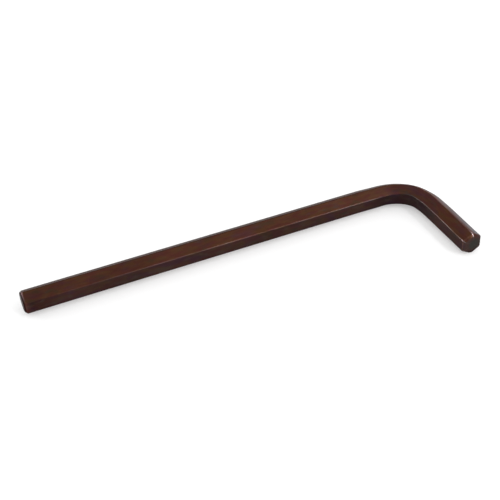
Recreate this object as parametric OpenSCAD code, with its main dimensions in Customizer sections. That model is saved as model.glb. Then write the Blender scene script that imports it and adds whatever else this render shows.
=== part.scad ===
// Hexagon key: one hexagonal steel bar with rolled corners, bent once through
// a right angle and turned to a chamfered round face at each tip. It lies flat
// on its lower ridges, with the long arm along X and the short arm towards -Y.

/* [Bar] */
// Width across the flats of the hexagonal bar
across_flats = 7; // [4:0.5:10]
// Radius of the rolled corners between the flats
corner_radius = 0.56; // [0.1:0.02:1.2]

/* [Arms] */
// Length of the long arm, from its tip to the outer flat of the short arm
long_arm = 144; // [60:1:260]
// Length of the short arm, from its tip to the outer flat of the long arm
short_arm = 41; // [30:1:90]
// Radius of the bend on its inner flat
bend_inner_radius = 10.3; // [4:0.1:16]

/* [Tips] */
// Depth of the turned chamfer below the ridges, measured across the bar
chamfer_depth = 0.85; // [0.2:0.05:1.6]
// Angle between the chamfer and the bar's axis
chamfer_angle = 45; // [30:1:60]

/* [Hidden] */

// Shape of the hexagon
sides = 6;
side_angle = 360 / sides;
half_side_angle = side_angle / 2;

// The bend is a quarter turn
bend_angle = 90;

// Distance of each rolled corner's centre, and of its ridge, from the bar's axis
corner_centre = (across_flats / 2 - corner_radius) / cos(half_side_angle);
ridge_radius = corner_centre + corner_radius;

// Radius of the bend on the bar's axis
bend_radius = bend_inner_radius + across_flats / 2;

// Straight stretch of each arm, from the end of the bend to the tip
long_straight = long_arm - across_flats / 2 - bend_radius;
short_straight = short_arm - across_flats / 2 - bend_radius;

// Round face left at each tip, and how far the chamfer runs back from it
tip_face_radius = ridge_radius - chamfer_depth;
chamfer_length = chamfer_depth / tan(chamfer_angle);

// Room that the turned blank leaves outside the ridges
turning_room = 1;

// Centre of the bend, with the origin below the middle of the lying key
bend_centre = [
    long_arm / 2 - across_flats / 2 - bend_radius,
    short_arm / 2 - across_flats / 2 - bend_radius,
    ridge_radius
];

// Steps along each rolled corner, an even number so that one point is the ridge
corner_steps = 6;

// Facets of a full turn, for the bend and the turned tips
turn_facets = 96;

steel_brown = [0.28, 0.17, 0.14];

// Angle of the ridge with the given number, with flats facing left and right
function ridge_angle(index) = half_side_angle + side_angle * index;

// Points along one rolled corner, from the flat before its ridge to the one after
function corner_arc(index) = [
    for (step = [0 : corner_steps])
    let (normal_angle = ridge_angle(index) + side_angle * (step / corner_steps - 0.5))
    corner_centre * [cos(ridge_angle(index)), sin(ridge_angle(index))]
        + corner_radius * [cos(normal_angle), sin(normal_angle)]
];

// Cross-section of the bar: six flats joined by rolled corners
module bar_section() {
    polygon([for (index = [0 : sides - 1]) each corner_arc(index)]);
}

// Envelope left by the lathe: a cylinder that ends in the chamfer and round face
module turned_blank(length) {
    blank_radius = ridge_radius + turning_room;
    blank_chamfer = chamfer_length + turning_room / tan(chamfer_angle);
    rotate_extrude($fn = turn_facets)
        polygon([
            [0, -turning_room],
            [blank_radius, -turning_room],
            [blank_radius, length - blank_chamfer],
            [tip_face_radius, length],
            [0, length]
        ]);
}

// Straight stretch of the bar, standing up from its start to its turned tip
module straight_bar(length) {
    intersection() {
        linear_extrude(height = length)
            bar_section();
        turned_blank(length);
    }
}

// Quarter turn of the bar about the Z axis, from the X axis to the Y axis
module bent_bar() {
    rotate_extrude(angle = bend_angle, $fn = turn_facets)
        translate([bend_radius, 0])
            bar_section();
}

module hex_key() {
    color(steel_brown)
        translate(bend_centre) {
            bent_bar();
            translate([0, bend_radius, 0])
                rotate([90, 0, -90])
                    straight_bar(long_straight);
            translate([bend_radius, 0, 0])
                rotate([90, 0, 0])
                    straight_bar(short_straight);
        }
}

hex_key();
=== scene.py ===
import math

import bpy
from mathutils import Matrix, Vector


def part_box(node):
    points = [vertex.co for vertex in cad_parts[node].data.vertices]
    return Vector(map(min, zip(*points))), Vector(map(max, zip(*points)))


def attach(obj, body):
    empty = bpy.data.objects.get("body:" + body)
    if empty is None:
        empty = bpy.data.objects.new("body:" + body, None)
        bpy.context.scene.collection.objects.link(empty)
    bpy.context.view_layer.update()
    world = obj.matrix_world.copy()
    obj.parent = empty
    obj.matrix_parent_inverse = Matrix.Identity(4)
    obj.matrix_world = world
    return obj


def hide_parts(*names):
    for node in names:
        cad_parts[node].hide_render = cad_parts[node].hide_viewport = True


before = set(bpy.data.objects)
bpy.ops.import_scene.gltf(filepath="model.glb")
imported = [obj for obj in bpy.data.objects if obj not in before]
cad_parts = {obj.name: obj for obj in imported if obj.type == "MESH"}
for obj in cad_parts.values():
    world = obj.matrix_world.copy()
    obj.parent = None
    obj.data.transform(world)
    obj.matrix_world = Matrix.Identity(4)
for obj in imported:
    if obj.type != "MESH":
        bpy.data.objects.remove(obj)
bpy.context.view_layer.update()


# Key
# A length of hexagonal steel bar, drawn with rolled corners and bent cold through a
# right angle over a former. A chamfer round a flat face is turned on both ends, and
# the key is then hardened and dipped, which leaves a thin brown oxide all over it.

class Wire:
    """One output of a node. Sums on it add the nodes that work them out."""

    def __init__(self, bench, socket):
        self.bench = bench
        self.socket = socket

    def __add__(self, other):
        return self.bench.maths("ADD", self, other)

    def __sub__(self, other):
        return self.bench.maths("SUBTRACT", self, other)

    def __mul__(self, other):
        return self.bench.maths("MULTIPLY", self, other)

    def __truediv__(self, other):
        return self.bench.maths("DIVIDE", self, other)

    def __pow__(self, other):
        return self.bench.maths("POWER", self, other)

    def __rsub__(self, other):
        return self.bench.maths("SUBTRACT", other, self)

    __radd__ = __add__
    __rmul__ = __mul__


class Bench:
    """A node tree that is being put together."""

    def __init__(self, tree):
        self.tree = tree

    def add(self, kind, settings=None, inputs=None, output=0):
        """Adds a node, sets it, feeds its sockets and returns one output."""
        made = self.tree.nodes.new(kind)
        for name, value in (settings or {}).items():
            setattr(made, name, value)
        for name, value in (inputs or {}).items():
            if isinstance(value, Wire):
                self.tree.links.new(value.socket, made.inputs[name])
            else:
                made.inputs[name].default_value = value
        return Wire(self, made.outputs[output]) if made.outputs else None

    def maths(self, operation, *values, clamp=False):
        """One Math node on one to three values."""
        settings = {"operation": operation, "use_clamp": clamp}
        return self.add("ShaderNodeMath", settings, dict(enumerate(values)))

    def share(self, value, whole):
        """How far value has come on its way from 0 to whole, from 0 to 1."""
        return self.maths("DIVIDE", value, whole, clamp=True)

    def joined(self, x, y, z):
        """A vector of three values."""
        return self.add("ShaderNodeCombineXYZ", inputs={0: x, 1: y, 2: z})

    def step_up(self, value, start, end):
        """Smooth step from 0 at start to 1 at end."""
        inputs = {"Value": value, "From Min": start, "From Max": end}
        return self.add("ShaderNodeMapRange", {"interpolation_type": "SMOOTHSTEP"}, inputs)


# Sizes of the bar, in metres. The frame gives both arms and the height over
# the ridges, and the height gives the radius of the rolled corners.
low, high = (Vector(corner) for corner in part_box("hex_key"))
long_arm, short_arm, height = high - low
across_flats = 0.007
bend_inner_radius = 0.0103
bend_radius = bend_inner_radius + across_flats / 2
bend_thinning = 0.03
chamfer_depth = 0.00085
chamfer_angle = math.radians(45)
edge_rounding = 0.00018

sides = 6
side_angle = math.tau / sides
sharp_radius = across_flats / 2 / math.cos(side_angle / 2)
corner_radius = (sharp_radius - height / 2) / (1 / math.cos(side_angle / 2) - 1)

# Mesh: steps round each rolled corner and across each flat, the share of a flat
# that its first and last steps take, the rings along each stretch of the bar, and
# the length of the stretch of close rings at each tip
corner_steps = 10
flat_steps = 3
flat_margin = 0.04
face_rings = 8
tip_rings = 40
long_rings = 48
bend_rings = 72
short_rings = 16
tip_zone = 0.0016

tree = bpy.data.node_groups.new("Bent hexagonal bar", "GeometryNodeTree")
tree.interface.new_socket("Geometry", in_out="OUTPUT", socket_type="NodeSocketGeometry")
sizes = {
    "Across Flats": across_flats,
    "Corner Radius": corner_radius,
    "Long Arm": long_arm,
    "Short Arm": short_arm,
    "Bend Radius": bend_radius,
    "Bend Thinning": bend_thinning,
    "Face Radius": height / 2 - chamfer_depth,
    "Chamfer Slope": math.tan(chamfer_angle),
    "Edge Rounding": edge_rounding,
}
size_sockets = {}
for name in sizes:
    made = tree.interface.new_socket(name, in_out="INPUT", socket_type="NodeSocketFloat")
    size_sockets[name] = made.identifier

bar = Bench(tree)
given = {
    name: bar.add("NodeGroupInput", output=name)
    for name in sizes
}

# The bar starts as a flat sheet of rings and columns. Each point's ring says
# how far along the bar it is, and its column says where on the hexagon. Along
# the axis, the rings of a tip, an arm or the bend share its length evenly, and
# those of an end face take none.
bend_length = given["Bend Radius"] * (math.pi / 2)
corner_room = given["Bend Radius"] + given["Across Flats"] / 2
long_length = given["Long Arm"] - corner_room - tip_zone
short_length = given["Short Arm"] - corner_room - tip_zone
axis_length = tip_zone * 2 + long_length + bend_length + short_length
stretches = [
    (face_rings, 0),
    (tip_rings, tip_zone),
    (long_rings, long_length),
    (bend_rings, bend_length),
    (short_rings, short_length),
    (tip_rings, tip_zone),
    (face_rings, 0),
]
ring_count = sum(rings for rings, length in stretches) + 1
side_columns = corner_steps + flat_steps
column_count = sides * side_columns + 1
sheet = bar.add(
    "GeometryNodeMeshGrid",
    inputs={"Vertices X": ring_count, "Vertices Y": column_count},
)
index = bar.add("GeometryNodeInputIndex")
ring = bar.maths("FLOOR", (index + 0.5) / column_count)
column = index - ring * column_count

along = 0
started = 0
for rings, length in stretches:
    if length:
        along = along + bar.share(ring - started, rings) * length
    started += rings
from_tip = bar.maths("MINIMUM", along, axis_length - along)

# Section: each side is a rolled corner, then the flat up to the next corner.
# The first and last step across a flat are narrow, which keeps it shaded flat.
side = bar.maths("FLOOR", (column + 0.5) / side_columns)
step = column - side * side_columns
ridge_angle = side * side_angle - math.pi / 2
corner_share = bar.share(step, corner_steps)
normal_angle = ridge_angle + (corner_share - 0.5) * side_angle
corner_centre = (given["Across Flats"] / 2 - given["Corner Radius"]) / math.cos(side_angle / 2)
flat_length = corner_centre * (2 * math.sin(side_angle / 2))
past_corner = step - corner_steps
flat_share = (
    bar.share(past_corner, 1) * flat_margin
    + bar.share(past_corner - 1, flat_steps - 2) * (1 - 2 * flat_margin)
    + bar.share(past_corner - flat_steps + 1, 1) * flat_margin
)


def section_point(direction):
    """One coordinate of the section: COSINE runs outwards, SINE runs upwards."""
    return (
        corner_centre * bar.maths(direction, ridge_angle)
        + given["Corner Radius"] * bar.maths(direction, normal_angle)
        + flat_share * flat_length * bar.maths(direction, normal_angle + math.pi / 2)
    )


outwards = section_point("COSINE")
upwards = section_point("SINE")
radius = bar.maths("SQRT", outwards ** 2 + upwards ** 2)

# Tips: no point lies outside the turned cone, whose edges are a little rounded,
# and the rings of each face close in to its centre. Both chamfers run out of true,
# so on the outer side, high up at the long tip and low down at the short one, they
# are steep and short.
steep_outwards = 0.78
steep_upwards = 0.62
steep_from = 0.2
steep_spread = 0.5
steep_step = 0.00012
steep_rise = 0.00030
steep_length = 0.00025
steep_edge = 0.3

short_end = bar.share(ring - ring_count / 2, 1)
steep_side = (outwards * steep_outwards + upwards * (1 - short_end * 2) * steep_upwards) / radius
run_out = bar.share(steep_side - steep_from, steep_spread)
steep = bar.share(from_tip, steep_length) * steep_rise + steep_step
steep = given["Face Radius"] + run_out * steep
chamfer = given["Face Radius"] + from_tip * given["Chamfer Slope"]
near_edge = 1 - bar.share(from_tip, given["Edge Rounding"])
edge_fall = near_edge ** 2 * given["Edge Rounding"] * (1 - run_out * steep_edge)
turned = bar.maths("MAXIMUM", steep, chamfer) - edge_fall
long_opening = 1 - (1 - bar.share(ring, face_rings)) ** 2
short_opening = 1 - (1 - bar.share(ring_count - 1 - ring, face_rings)) ** 2
opening = long_opening * short_opening
kept = bar.maths("SMOOTH_MIN", radius, turned, given["Edge Rounding"])
outwards = outwards * kept / radius * opening
upwards = upwards * kept / radius * opening

# Bend: the section turns round the former and is drawn thinner on the way. It
# isn't a true arc: it sags inwards where it starts, and past the middle it swells
# outwards, most on the inner flat, which is pressed wider there. Near its end the
# back dips and the top ridge leans out, and where the bar leaves the former, the
# section is rolled a little towards the outside.
past_long = along - long_length - tip_zone


def hump(middle, reach, most):
    """Most at the middle, in metres past the start of the bend, and 0 beyond its reach."""
    return (1 - bar.share(((past_long - middle) / reach) ** 2, 1)) ** 2 * most


outer_sag = hump(middle=0.0008, reach=0.0075, most=0.00042)
outer_swell = hump(middle=0.0123, reach=0.0055, most=0.00030)
inner_sag = hump(middle=-0.0017, reach=0.0080, most=0.00014)
inner_swell = hump(middle=0.0122, reach=0.0060, most=0.00064)
inner_dip = hump(middle=0.0200, reach=0.0050, most=0.00010)
back_dip = hump(middle=0.0195, reach=0.0105, most=0.00018)
crest_shift = hump(middle=0.0175, reach=0.0110, most=0.00015)
widening = hump(middle=0.0118, reach=0.0050, most=0.12)
roll = hump(middle=0.0255, reach=0.0170, most=0.072)
crest_foot = 0.0020
crest_rise = 0.0018
inner_zone_start = 0.0015
inner_zone_depth = 0.002
inner_drop = 0.6

outer_lean = outer_swell - outer_sag
inner_lean = inner_swell - inner_dip - inner_sag
outer_share = outwards / given["Across Flats"] + 0.5
lean = inner_lean + (outer_lean - inner_lean) * outer_share
lean = lean - outer_share ** 3 * back_dip
lean = lean + bar.share(upwards - crest_foot, crest_rise) * crest_shift
inner_share = bar.share(-inner_zone_start - outwards, inner_zone_depth)
upwards = upwards * (inner_share * widening + 1)
rolled_out = outwards + upwards * roll
upwards = upwards - bar.maths("MINIMUM", outwards, 0) * roll * inner_drop
outwards = rolled_out

turn = bar.share(past_long, bend_length) * (math.pi / 2)
past_bend = bar.maths("MAXIMUM", past_long - bend_length, 0)
thinned = 1 - given["Bend Thinning"] * bar.maths("SINE", turn * 2)
reach = given["Bend Radius"] + outwards * thinned + lean
place_x = high.x - corner_room + reach * bar.maths("SINE", turn)
place_x = place_x + bar.maths("MINIMUM", past_long, 0)
place_y = high.y - corner_room + reach * bar.maths("COSINE", turn) - past_bend
place = bar.joined(
    bar.maths("MINIMUM", place_x, high.x),
    bar.maths("MINIMUM", place_y, high.y),
    upwards + height / 2,
)

# What the finish follows: the place on the bar before it was bent, how near a
# ridge or a turned edge is, where the end faces, the chamfers and the inner flat
# are, and where the bar is bent
cone_depth = 0.00005
edge_widths = 1.5
corner_widths = 5
inner_facing = 0.5
bend_reach = 0.008

straight = bar.joined(along, outwards, upwards)
ridge = 1 - bar.maths("ABSOLUTE", corner_share * 2 - 1)
off_cone = bar.maths("ABSOLUTE", radius - turned)
turned_edge = 1 - bar.share(off_cone, given["Edge Rounding"] * edge_widths)
ridge_end = (1 - bar.share(off_cone, given["Edge Rounding"] * corner_widths)) * ridge ** 2
on_cone = bar.share(radius - turned, cone_depth)
facing_in = bar.maths("COSINE", normal_angle - math.pi)
facing_former = bar.share(facing_in - inner_facing, 1 - inner_facing)
near_bend = bar.share(past_long + bend_reach, bend_reach)
near_bend = near_bend * (1 - bar.share(past_bend, bend_reach))

shape = sheet
for name, kind, value in [
    ("straight", "FLOAT_VECTOR", straight),
    ("ridge", "FLOAT", ridge),
    ("turned_edge", "FLOAT", turned_edge),
    ("ridge_end", "FLOAT", ridge_end),
    ("face", "FLOAT", near_edge),
    ("cone", "FLOAT", on_cone),
    ("inner_flat", "FLOAT", facing_former),
    ("bent", "FLOAT", near_bend),
]:
    shape = bar.add(
        "GeometryNodeStoreNamedAttribute",
        {"data_type": kind, "domain": "POINT"},
        {"Geometry": shape, "Name": name, "Value": value},
    )

# The sheet closes to a bar where its first and last columns meet. Rolled up this
# way, its faces point inwards, so they are turned over.
seam_gap = 1e-6
shape = bar.add("GeometryNodeSetPosition", inputs={"Geometry": shape, "Position": place})
shape = bar.add("GeometryNodeMergeByDistance", inputs={"Geometry": shape, "Distance": seam_gap})
shape = bar.add("GeometryNodeFlipFaces", inputs={"Mesh": shape})
shape = bar.add("GeometryNodeSetShadeSmooth", inputs={"Geometry": shape})
shape = bar.add("GeometryNodeRealizeInstances", inputs={"Geometry": shape})

# Finish: browned steel. The oxide is patchy, redder here and more olive or violet
# there, and the die that drew the bar has scored it lengthwise. The inner flat is darker
# with painted shade, and the ridges and turned edges are rubbed paler and carry painted
# highlights. The end faces keep the rings of the turning tool.
steel = bpy.data.materials.new("browned_steel")
steel.use_nodes = True
steel.node_tree.nodes.clear()
finish = Bench(steel.node_tree)


def read(name, output="Fac"):
    """A value that the mesh carries."""
    return finish.add("ShaderNodeAttribute", {"attribute_name": name}, output=output)


def place_on_bar(axis):
    """The place on the straight bar: X along it, Y outwards or Z upwards."""
    return finish.add("ShaderNodeSeparateXYZ", inputs={0: read("straight", "Vector")}, output=axis)


def patches(size, stretch, detail=2.0, roughness=0.5, shift=0.0):
    """Soft noise in patches about size metres across and stretch times as long."""
    stretched = finish.add(
        "ShaderNodeVectorMath",
        {"operation": "MULTIPLY_ADD"},
        {
            0: read("straight", "Vector"),
            1: (1 / (size * stretch), 1 / size, 1 / size),
            2: (shift, shift, shift),
        },
    )
    return finish.add(
        "ShaderNodeTexNoise",
        inputs={"Vector": stretched, "Scale": 1.0, "Detail": detail, "Roughness": roughness},
        output="Fac",
    )


def blend(share, first, second):
    """Colour that runs from the first to the second as share goes from 0 to 1."""
    inputs = {0: share, 6: first, 7: second}
    return finish.add("ShaderNodeMix", {"data_type": "RGBA"}, inputs, output=2)


def tinted(colour, tint):
    """Colour times the tint, channel by channel."""
    return finish.add("ShaderNodeVectorMath", {"operation": "MULTIPLY"}, {0: colour, 1: tint})


def scaled(colour, amount):
    """Colour made darker or lighter by a number."""
    inputs = {0: colour, "Scale": amount}
    return finish.add("ShaderNodeVectorMath", {"operation": "SCALE"}, inputs)


far_along = place_on_bar("X")
out_from_axis = place_on_bar("Y")
up_from_axis = place_on_bar("Z")
inner_flat = read("inner_flat")
bent = read("bent")
end_face = read("face")
cone = read("cone")
bend_start = long_arm - across_flats / 2 - bend_radius


def from_long_tip(start, end):
    """Smooth step from 0 at start to 1 at end, in metres along the bar from its long tip."""
    return finish.step_up(far_along, start, end)


def from_bend(start, end):
    """The same step, in metres from the start of the bend."""
    return from_long_tip(bend_start + start, bend_start + end)


# Oxide: red and orange patches drawn out along the bar, olive and violet ones
# over them, and fine streaks and broad clouds of lighter and darker brown
red_brown = (0.0640, 0.0205, 0.0145, 1)
orange_brown = (0.0660, 0.0275, 0.0135, 1)
olive_brown = (0.0500, 0.0255, 0.0145, 1)
violet_brown = (0.0560, 0.0205, 0.0210, 1)
violet_strength = 0.8
violet_on_inner_flat = 0.06
streak_strength = 0.40
cloud_strength = 0.45
mean_brown = 0.93

orange = patches(size=0.0016, stretch=2.6, detail=3.0)
orange = finish.step_up(orange, start=0.38, end=0.62)
olive = patches(size=0.0021, stretch=2.2, detail=3.0, shift=3.1)
olive = finish.step_up(olive, start=0.52, end=0.70)
violet = patches(size=0.0026, stretch=2.4, shift=7.3)
violet = finish.step_up(violet + inner_flat * violet_on_inner_flat, start=0.52, end=0.74)
streaks = patches(size=0.0005, stretch=9.0, shift=5.7) - 0.5
clouds = patches(size=0.0060, stretch=2.5, detail=1.0, shift=2.3) - 0.5
colour = blend(orange, red_brown, orange_brown)
colour = blend(olive, colour, olive_brown)
colour = blend(violet * violet_strength, colour, violet_brown)
colour = scaled(colour, streaks * streak_strength + clouds * cloud_strength + mean_brown)

# Painted shade: the inner flat is tinted darker, as it faces away from the light. Where the
# former pressed it is darker still, partly a real patina and partly painted shade. It is
# redder at the long tip, and the bend is a little bluer all round.
inner_flat_shade_tint = (0.73, 0.90, 1.16)
bend_tint = (0.97, 1.00, 1.22)
pressed_patina_shade_tint = (0.60, 0.61, 0.60)
long_tip_tint = (0.84, 0.66, 0.74)
red_end_brown = (0.0600, 0.0170, 0.0130, 1)
red_end_strength = 0.8

off_long_tip = from_long_tip(start=0.002, end=0.016)
red_end = 1 - from_long_tip(start=0.0008, end=0.0024)
# Painted shade: the inner flat is tinted darker and cooler.
colour = blend(inner_flat, colour, tinted(colour, inner_flat_shade_tint))
colour = blend(bent, colour, tinted(colour, bend_tint))
# Darker patina where the former pressed, partly painted shade.
colour = blend(inner_flat * bent, colour, tinted(colour, pressed_patina_shade_tint))
colour = blend((1 - off_long_tip) * inner_flat, colour, tinted(colour, long_tip_tint))
colour = blend(red_end * inner_flat * red_end_strength, colour, red_end_brown)

# Smoke and specks of rust lie over the oxide
smoke_grey = (0.0480, 0.0350, 0.0300, 1)
rust_orange = (0.1100, 0.0380, 0.0130, 1)
smoke_strength = 0.45
smoke_on_inner_flat = 0.05
rust_strength = 0.7

smoke = patches(size=0.0016, stretch=2.4, detail=4.0, shift=11.9)
smoke = finish.step_up(smoke + inner_flat * smoke_on_inner_flat, start=0.56, end=0.74)
rust = patches(size=0.0006, stretch=1.5, detail=1.0, shift=17.3)
rust = finish.step_up(rust, start=0.74, end=0.82)
colour = blend(smoke * smoke_strength, colour, smoke_grey)
colour = blend(rust * rust_strength, colour, rust_orange)

# Chamfers and end faces: the long tip's chamfer has a painted pink highlight on its upper
# side and is dark at its rim, and both have painted shade underneath. The faces are grey
# off the middle, browner round the rim and on the inner side, with the turning rings.
chamfer_highlight_pink = (0.1000, 0.0640, 0.0680, 1)
face_grey = (0.0340, 0.0330, 0.0290, 1)
rim_brown = (0.0510, 0.0300, 0.0265, 1)
pink_highlight_strength = 0.9
lip_darkening = 0.70
under_painted_shade = 0.5
grey_shift = 0.30
rim_waver = 0.0012
turning_pitch = 0.00022

upper = finish.step_up(up_from_axis, start=0.0018, end=0.0032)
lower = finish.step_up(0 - up_from_axis, start=0.0016, end=0.0032)
lip = 1 - from_long_tip(start=0.00026, end=0.00054)
off_axis = finish.maths("SQRT", out_from_axis ** 2 + up_from_axis ** 2)
off_grey = off_axis - out_from_axis * grey_shift + (clouds + streaks) * rim_waver
rim = finish.step_up(off_grey, start=0.0011, end=0.0026)
turning = finish.maths("SINE", off_axis * (math.tau / turning_pitch)) * end_face
# Painted pink highlight on the upper side of the long tip's chamfer.
colour = blend(cone * (1 - off_long_tip) * upper * pink_highlight_strength, colour, chamfer_highlight_pink)
colour = scaled(colour, 1 - cone * lip * lip_darkening)
colour = blend(end_face, colour, blend(rim, face_grey, rim_brown))
# Painted shade on the underside of both chamfers.
colour = scaled(colour, 1 - cone * lower * under_painted_shade)

# The brown is lighter from the bend on. The back carries a painted grey reflection,
# faint all along and strong on the short arm, up to a brown edge at its tip. The back
# of the bend, where the steel stretched, is darkened as painted shade.
reflection_grey = (0.1560, 0.1500, 0.1620, 1)
tip_edge_brown = (0.0580, 0.0360, 0.0380, 1)
handled_lightening = 0.12
tip_edge_strength = 0.8
bend_back_painted_shade = 0.75
reflection_everywhere = 0.06
reflection_after_bend = 0.44
reflection_near_tip = 0.42
inner_flat_greying = 0.05

handled = from_bend(start=0.0073, end=0.0253) * (1 - end_face)
outer_side = finish.step_up(out_from_axis, start=0.0004, end=0.0022)
on_arm = 1 - from_bend(start=0.0435, end=0.0447)
back = outer_side * on_arm
tip_edge = outer_side * (1 - on_arm) * (1 - end_face)
out_of_stretch = from_bend(start=0.0158, end=0.0213)
stretched = from_bend(start=-0.0017, end=0.0073) * (1 - out_of_stretch)
after_bend = from_bend(start=0.0158, end=0.0248)
near_tip = from_bend(start=0.0273, end=0.0453)
colour = scaled(colour, handled * (1 - inner_flat) * handled_lightening + 1)
colour = blend(tip_edge * tip_edge_strength, colour, tip_edge_brown)
# Painted shade on the back of the bend.
colour = scaled(colour, 1 - back * stretched * bend_back_painted_shade)
# Painted grey reflection on the back, strongest on the short arm.
back_reflection = back * (after_bend * reflection_after_bend + near_tip * reflection_near_tip + reflection_everywhere)
colour = blend(back_reflection + handled * inner_flat * inner_flat_greying, colour, reflection_grey)

# Wear and painted highlights: bare steel in broken scuffs along the ridges also paints
# their highlight line, which fades out towards the long tip, is stronger just before the
# bend and weaker in it. Where the ridges meet the short tip's chamfer sits a bright painted
# highlight on worn steel, and the turned edges are paler brown, worn and partly highlight.
bare_steel_highlight = (0.1500, 0.1350, 0.1320, 1)
edge_wear_highlight_brown = (0.1350, 0.0680, 0.0520, 1)
bright_steel_highlight = (0.5600, 0.4500, 0.4700, 1)
edge_strength = 0.30
edge_handled = 0.30
ridge_strength = 0.29
ridge_handled = 0.48
ridge_bent = 0.38
before_bend_gain = 0.55
bend_highlight_fade_depth = 1.15
bend_highlight_fade_end = 0.7
edge_polish = 0.7
corner_gain = 2.6
corner_strength = 0.9
corner_underneath = 0.16

scuffs = patches(size=0.0010, stretch=7.0, detail=4.0)
scuffs = finish.step_up(scuffs, start=0.25, end=0.65)
edge_wear_and_highlight = read("turned_edge") * scuffs
# Ridge scuffs of bare steel, shaped into a painted highlight line.
ridge_wear_and_highlight = read("ridge") ** 3 * from_long_tip(start=0.010, end=0.040) * scuffs
into_bend = from_bend(start=-0.0057, end=0.0033)
before_bend = from_bend(start=-0.0227, end=-0.0107) - into_bend
out_of_bend = (
    from_bend(start=0.0053, end=0.0153) * bend_highlight_fade_end
    + from_bend(start=0.0233, end=0.0293) * (1 - bend_highlight_fade_end)
)
bend_highlight_fade = into_bend * (1 - out_of_bend)
ridge_wear_and_highlight = ridge_wear_and_highlight * (before_bend * before_bend_gain + 1 - bend_highlight_fade * bend_highlight_fade_depth)
wear = finish.maths("MAXIMUM", ridge_wear_and_highlight, edge_wear_and_highlight * edge_polish)
# Painted highlight on worn steel where the ridges meet the chamfer, mostly on top.
corner_wear_and_highlight = finish.maths("MULTIPLY", read("ridge_end"), corner_gain, clamp=True)
corner_wear_and_highlight = corner_wear_and_highlight * (upper * (1 - corner_underneath) + corner_underneath)
corner_wear_and_highlight = corner_wear_and_highlight * from_long_tip(start=0.010, end=0.030)
# Turned edges: wear, partly a painted highlight.
colour = blend(edge_wear_and_highlight * (handled * edge_handled + edge_strength), colour, edge_wear_highlight_brown)
ridge_share = handled * ridge_handled + bent * ridge_bent + ridge_strength
# Ridge wear and painted highlight line.
colour = blend(ridge_wear_and_highlight * ridge_share, colour, bare_steel_highlight)
# Painted corner highlight over worn steel.
colour = blend(corner_wear_and_highlight * corner_strength, colour, bright_steel_highlight)

# Surface: satin, scored along the bar by the die, with a fine grain over it
satin = 0.37
grain_roughness = 0.16
die_roughness = 0.12
wear_polish = 0.10
stretch_roughness = 0.20
corner_polish = 0.08
relief_depth = 0.00002
relief_strength = 0.35
grain_depth = 0.6
turning_depth = 0.3
metallic = 0.95
grazing_tint = (0.49, 0.47, 0.47, 1)

die_lines = patches(size=0.00012, stretch=160, detail=3.0, roughness=0.6)
grain = patches(size=0.00025, stretch=1, detail=3.0, roughness=0.6)
roughness = satin + (grain - 0.5) * grain_roughness + (die_lines - 0.5) * die_roughness
roughness = roughness - wear * wear_polish - corner_wear_and_highlight * corner_polish
roughness = roughness + back * stretched * stretch_roughness
relief = finish.add(
    "ShaderNodeBump",
    inputs={
        "Strength": relief_strength,
        "Distance": relief_depth,
        "Height": die_lines + grain * grain_depth + turning * turning_depth,
    },
)
shader = finish.add(
    "ShaderNodeBsdfPrincipled",
    inputs={
        "Base Color": colour,
        "Metallic": metallic,
        "Roughness": roughness,
        "Specular Tint": grazing_tint,
        "Normal": relief,
    },
)
finish.add("ShaderNodeOutputMaterial", inputs={"Surface": shader})

shape = bar.add("GeometryNodeSetMaterial", inputs={"Geometry": shape, "Material": steel})
bar.add("NodeGroupOutput", inputs={"Geometry": shape})

blank = bpy.data.objects.new("key_blank", bpy.data.meshes.new("key_blank"))
bpy.context.collection.objects.link(blank)
bending = blank.modifiers.new("bending", "NODES")
bending.node_group = tree
for name, identifier in size_sockets.items():
    bending[identifier] = sizes[name]
formed = blank.evaluated_get(bpy.context.evaluated_depsgraph_get())
key_mesh = bpy.data.meshes.new_from_object(formed)
bpy.data.objects.remove(blank)
key_mesh.name = "key"
key = bpy.data.objects.new("key", key_mesh)
bpy.context.collection.objects.link(key)
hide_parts("hex_key")
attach(key, "root")


# Floor
# A plain pale sheet under the key. It shows white to the camera and in
# reflections, and keeps the key's soft shadow.
half_width = 2.0
paper_grey = 0.6
lift_to_white = 1 - paper_grey

floor_mesh = bpy.data.meshes.new("floor")
floor_corners = [
    (-half_width, -half_width, 0),
    (half_width, -half_width, 0),
    (half_width, half_width, 0),
    (-half_width, half_width, 0),
]
floor_mesh.from_pydata(floor_corners, [], [(0, 1, 2, 3)])
floor = bpy.data.objects.new("floor", floor_mesh)
bpy.context.collection.objects.link(floor)

paper = bpy.data.materials.new("white_paper")
paper.use_nodes = True
paper.node_tree.nodes.clear()
sheet_paper = Bench(paper.node_tree)
matt_colour = (paper_grey, paper_grey, paper_grey, 1)
matt = sheet_paper.add("ShaderNodeBsdfDiffuse", inputs={"Color": matt_colour})
seen = sheet_paper.add("ShaderNodeLightPath", output="Is Camera Ray")
mirrored = sheet_paper.add("ShaderNodeLightPath", output="Is Glossy Ray")
passed = sheet_paper.add("ShaderNodeLightPath", output="Is Transmission Ray")
shown = sheet_paper.maths("MAXIMUM", sheet_paper.maths("MAXIMUM", seen, mirrored), passed)
lift = sheet_paper.add("ShaderNodeEmission", inputs={"Strength": shown * lift_to_white})
both = sheet_paper.add("ShaderNodeAddShader", inputs={0: matt, 1: lift})
sheet_paper.add("ShaderNodeOutputMaterial", inputs={"Surface": both})
floor_mesh.materials.append(paper)


# Light
# A white tent of light round the key, dimmer in one patch high up at the back. Soft
# boxes stand overhead, high and low at the front right, and low at the back on
# either side.
dim_direction = Vector((0.42, 0.68, 0.60)).normalized()
dim_core = math.radians(14)
dim_edge = math.radians(32)
dimming = 0.45

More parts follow.
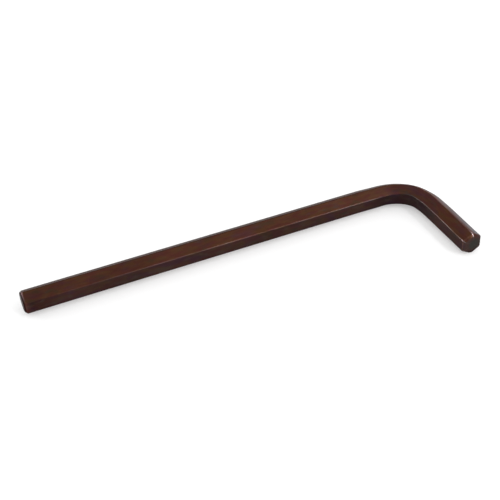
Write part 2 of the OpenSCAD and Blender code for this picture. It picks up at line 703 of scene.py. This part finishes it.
world = bpy.data.worlds.new("tent")
world.use_nodes = True
world.node_tree.nodes.clear()
tent = Bench(world.node_tree)
towards_dim = tent.add(
    "ShaderNodeVectorMath",
    {"operation": "DOT_PRODUCT"},
    {0: tent.add("ShaderNodeTexCoord", output="Generated"), 1: dim_direction},
    output="Value",
)
brightness = 1 - tent.step_up(towards_dim, math.cos(dim_edge), math.cos(dim_core)) * dimming
seen = tent.add("ShaderNodeLightPath", output="Is Camera Ray")
brightness = tent.maths("MAXIMUM", brightness, seen)
glow = tent.add("ShaderNodeBackground", inputs={"Color": (1, 1, 1, 1), "Strength": brightness})
tent.add("ShaderNodeOutputWorld", inputs={"Surface": glow})
bpy.context.scene.world = world

softbox_distance = 0.9


def softbox(name, direction, size, power):
    """A square lamp that faces the middle of the key from one direction."""
    data = bpy.data.lights.new(name, "AREA")
    data.size = size
    data.energy = power
    lamp = bpy.data.objects.new(name, data)
    bpy.context.collection.objects.link(lamp)
    towards = Vector(direction).normalized()
    turned_to = towards.to_track_quat("Z", "Y").to_matrix().to_4x4()
    lamp.matrix_world = Matrix.Translation(towards * softbox_distance) @ turned_to


softbox("overhead_right", (0.46, -0.16, 0.88), size=0.30, power=0.27)
softbox("front_high", (0.36, -0.62, 0.70), size=0.09, power=1.7)
softbox("front_right", (0.45, -0.85, 0.27), size=0.35, power=1.2)
softbox("back_left", (-0.74, 0.60, 0.26), size=0.35, power=2.2)
softbox("back_right", (0.70, 0.70, 0.14), size=0.35, power=3.0)


# Camera
# It looks down on the lying key from the front left, from beyond its long tip, and
# is tilted slightly.
aim = Vector((0.0020, 0.0093, 0.0040))
distance = 0.301
azimuth = math.radians(23.596)
elevation = math.radians(38.639)
tilt = math.radians(-1.774)
sensor_width = 36
focal_length = 66.09
nearest_seen = 0.01

camera_data = bpy.data.cameras.new("camera")
camera_data.sensor_width = sensor_width
camera_data.lens = focal_length
camera_data.clip_start = nearest_seen
camera = bpy.data.objects.new("camera", camera_data)
bpy.context.collection.objects.link(camera)
turned_camera = (
    Matrix.Rotation(-azimuth, 4, "Z")
    @ Matrix.Rotation(math.pi / 2 - elevation, 4, "X")
    @ Matrix.Rotation(tilt, 4, "Z")
)
backed_off = Matrix.Translation((0, 0, distance))
camera.matrix_world = Matrix.Translation(aim) @ turned_camera @ backed_off
bpy.context.scene.camera = camera
bpy.context.scene.view_settings.view_transform = "Standard"
